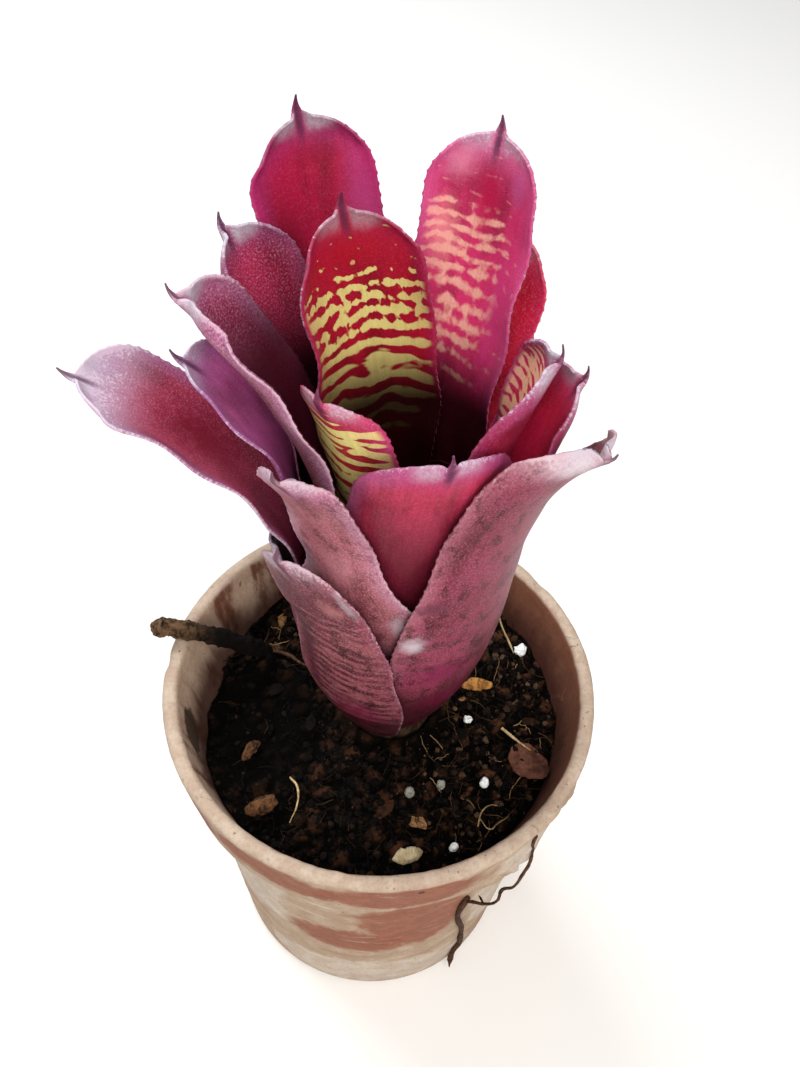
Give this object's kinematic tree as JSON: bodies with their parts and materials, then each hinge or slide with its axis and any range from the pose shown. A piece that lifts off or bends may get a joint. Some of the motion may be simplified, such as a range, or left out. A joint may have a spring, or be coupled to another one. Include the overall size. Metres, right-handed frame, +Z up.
{
  "type": "potted bromeliad",
  "caption": "Tank bromeliad with a banded vase-shaped rosette of broad horn-tipped leaves, standing in soil in a round clay pot with a collar.",
  "frame": {"origin": "on the surface that the pot stands on, under the middle of the whole thing's box", "axes": "+Z up along the pot and the rosette, -Y the front, +X to the right"},
  "size_m": [0.1293, 0.1214, 0.2706],
  "materials": {
    "clay": "unglazed terracotta under a pale lime bloom",
    "soil": "crumbly peat",
    "stem": "fibrous",
    "bark": "rough and dry",
    "dry_leaf": "dry and curled",
    "pale_chip": "weathered",
    "perlite": "porous",
    "banded_leaf": "leathery living leaf with pale bands",
    "red_leaf": "leathery living leaf with silvery scales",
    "old_leaf": "leathery living leaf with grey scurf"
  },
  "bodies": {
    "root": {"pot": "clay", "soil": "soil", "stem": "stem", "dead_stub": "bark", "dry_leaf_scrap": "dry_leaf", "pale_chip": "pale_chip", "bark_right": "bark", "bark_left": "bark", "bark_front": "bark", "perlite_back": "perlite", "perlite_side": "perlite", "perlite_right": "perlite", "perlite_middle": "perlite", "perlite_left": "perlite", "perlite_front": "perlite", "leaf_heart_right": "banded_leaf", "leaf_heart_left": "banded_leaf", "leaf_inner_front": "banded_leaf", "leaf_inner_back": "banded_leaf", "leaf_back_right": "banded_leaf", "leaf_inner_right": "banded_leaf", "leaf_left_middle": "red_leaf", "leaf_left_high": "red_leaf", "leaf_front_centre": "red_leaf", "leaf_back_left": "red_leaf", "leaf_left_behind": "red_leaf", "leaf_right_low": "red_leaf", "leaf_back_far_right": "red_leaf", "leaf_far_left": "red_leaf", "leaf_back_low_right": "red_leaf", "leaf_back_low": "red_leaf", "leaf_front_left": "old_leaf", "leaf_front_right": "old_leaf", "leaf_lower_back": "old_leaf", "leaf_lower_left": "old_leaf"}
  },
  "joints": []
}
